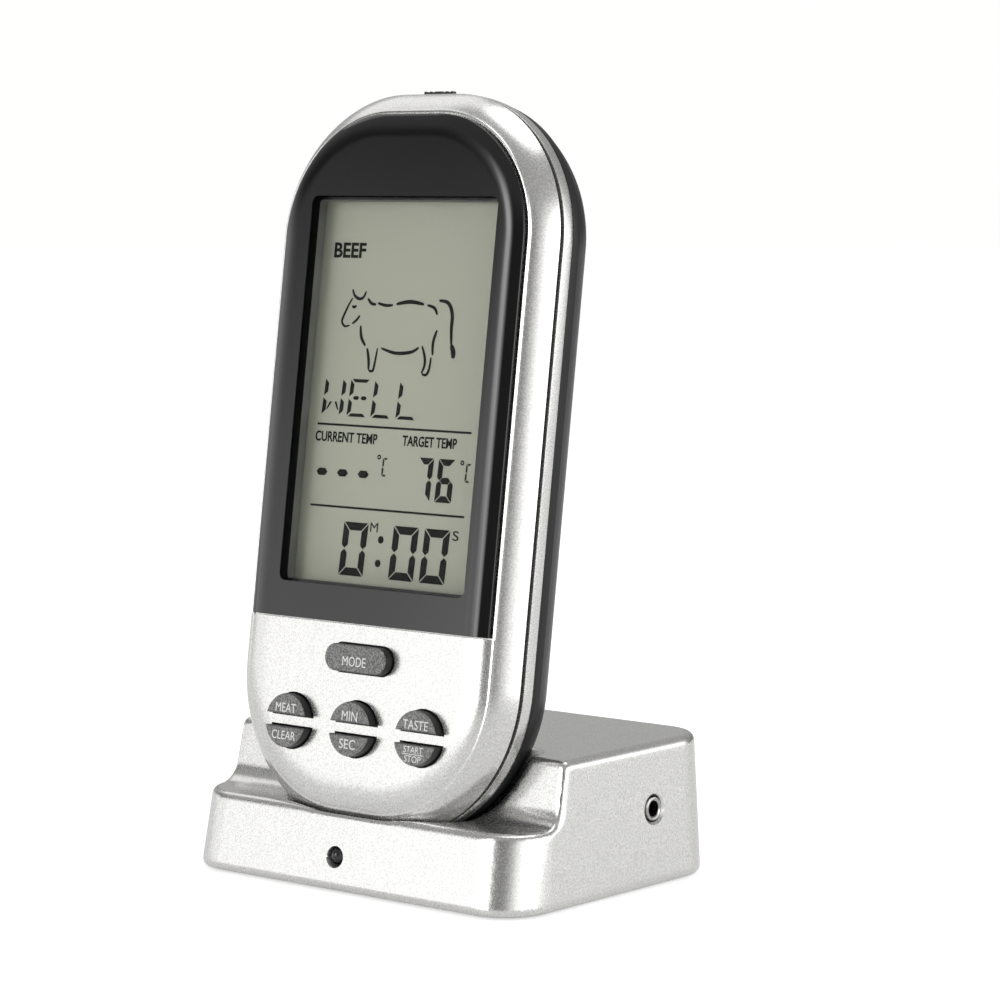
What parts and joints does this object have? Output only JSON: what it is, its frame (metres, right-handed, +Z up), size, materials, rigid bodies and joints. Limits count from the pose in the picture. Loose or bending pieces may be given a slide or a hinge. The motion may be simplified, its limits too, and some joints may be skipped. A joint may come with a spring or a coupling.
{
  "type": "wireless meat thermometer",
  "caption": "Handheld cooking thermometer receiver with a tall display and push buttons, leaning in a wedge-shaped transmitter dock with a probe socket.",
  "frame": {"origin": "on the table under the middle of the dock's footprint", "axes": "+Z up, -Y towards the front where the display faces, +X to the right seen from the front, towards the probe socket"},
  "size_m": [0.0824, 0.0599, 0.1454],
  "materials": {
    "silver_plastic": "satin metallic silver paint with fine flake",
    "dark_plastic": "fine grained, satin",
    "lens_acrylic": "polished, clear over a black printed border",
    "grey_plastic": "matte",
    "display_glass": "satin polariser over a grey-green reflector",
    "button_plastic": "metallic speckle, satin",
    "black_plastic": "moulded, satin",
    "light_resin": "smoked, polished",
    "black_rubber": "matte",
    "conductive_rubber": "fine layers of pink and black",
    "circuit_board": "solder mask",
    "plated_steel": "nickel plated",
    "jack_chrome": "polished",
    "copper_wire": "enamelled",
    "cell_jacket": "plain printed jacket"
  },
  "bodies": {
    "dock": {"dock_upper_shell": "silver_plastic", "dock_bottom_cover": "dark_plastic", "dock_switch_body": "plated_steel", "dock_board": "circuit_board", "dock_radio_can": "plated_steel", "dock_antenna_coil": "copper_wire", "probe_jack_body": "black_plastic", "probe_jack_ring": "jack_chrome", "signal_light": "light_resin", "dock_cell_left": "cell_jacket", "dock_cell_right": "cell_jacket", "dock_bridge_contact": "plated_steel", "dock_negative_contact": "plated_steel", "dock_positive_contact": "plated_steel", "dock_screw_1": "plated_steel", "dock_screw_2": "plated_steel", "dock_screw_3": "plated_steel", "dock_screw_4": "plated_steel", "rubber_foot_1": "black_rubber", "rubber_foot_2": "black_rubber", "rubber_foot_3": "black_rubber", "rubber_foot_4": "black_rubber"},
    "receiver": {"front_housing": "silver_plastic", "display_lens": "lens_acrylic", "display_frame": "grey_plastic", "display_glass": "display_glass", "display_connector_strip": "conductive_rubber", "keypad_mat": "black_rubber", "main_board": "circuit_board", "side_band": "silver_plastic", "back_cover": "dark_plastic", "receiver_cell_left": "cell_jacket", "receiver_cell_right": "cell_jacket", "receiver_bridge_contact": "plated_steel", "receiver_negative_contact": "plated_steel", "receiver_positive_contact": "plated_steel", "radio_board": "circuit_board", "receiver_antenna_coil": "copper_wire", "buzzer": "black_plastic", "power_switch_body": "plated_steel", "back_screw_1": "plated_steel", "back_screw_2": "plated_steel", "back_screw_3": "plated_steel", "back_screw_4": "plated_steel"},
    "power_knob": {"power_knob": "black_plastic"},
    "battery_door": {"battery_door": "dark_plastic"},
    "unit_button": {"unit_button": "button_plastic"},
    "dock_battery_door": {"dock_battery_door": "dark_plastic"},
    "dock_switch_knob": {"dock_switch_knob": "black_plastic"},
    "mode_button": {"mode_button": "button_plastic"},
    "meat_button": {"meat_button": "button_plastic"},
    "clear_button": {"clear_button": "button_plastic"},
    "minute_button": {"minute_button": "button_plastic"},
    "second_button": {"second_button": "button_plastic"},
    "taste_button": {"taste_button": "button_plastic"},
    "start_stop_button": {"start_stop_button": "button_plastic"}
  },
  "joints": [
    {"name": "receiver_lift", "type": "slide", "parent": "dock", "child": "receiver", "axis": [0, 0.1459, 0.9893], "range_m": [0, 0.04]},
    {"name": "mode_press", "type": "slide", "parent": "receiver", "child": "mode_button", "axis": [0, 0.9893, -0.1459], "range_m": [0, 0.0006], "stiffness_N_per_m": 600},
    {"name": "meat_press", "type": "slide", "parent": "receiver", "child": "meat_button", "axis": [0, 0.9893, -0.1459], "range_m": [0, 0.0006], "stiffness_N_per_m": 600},
    {"name": "clear_press", "type": "slide", "parent": "receiver", "child": "clear_button", "axis": [0, 0.9893, -0.1459], "range_m": [0, 0.0006], "stiffness_N_per_m": 600},
    {"name": "minute_press", "type": "slide", "parent": "receiver", "child": "minute_button", "axis": [0, 0.9893, -0.1459], "range_m": [0, 0.0006], "stiffness_N_per_m": 600},
    {"name": "second_press", "type": "slide", "parent": "receiver", "child": "second_button", "axis": [0, 0.9893, -0.1459], "range_m": [0, 0.0006], "stiffness_N_per_m": 600},
    {"name": "taste_press", "type": "slide", "parent": "receiver", "child": "taste_button", "axis": [0, 0.9893, -0.1459], "range_m": [0, 0.0006], "stiffness_N_per_m": 600},
    {"name": "start_stop_press", "type": "slide", "parent": "receiver", "child": "start_stop_button", "axis": [0, 0.9893, -0.1459], "range_m": [0, 0.0006], "stiffness_N_per_m": 600},
    {"name": "unit_press", "type": "slide", "parent": "receiver", "child": "unit_button", "axis": [0, -0.9893, 0.1459], "range_m": [0, 0.0006], "stiffness_N_per_m": 600},
    {"name": "power_slide", "type": "slide", "parent": "receiver", "child": "power_knob", "axis": [1, 0, 0], "range_m": [-0.002, 0.002]},
    {"name": "battery_door_pull", "type": "slide", "parent": "receiver", "child": "battery_door", "axis": [0, 0.9893, -0.1459], "range_m": [0, 0.02]},
    {"name": "dock_door_slide", "type": "slide", "parent": "dock", "child": "dock_battery_door", "axis": [0, 1, 0], "range_m": [0, 0.004]},
    {"name": "dock_power_slide", "type": "slide", "parent": "dock", "child": "dock_switch_knob", "axis": [1, 0, 0], "range_m": [0, 0.002]}
  ]
}
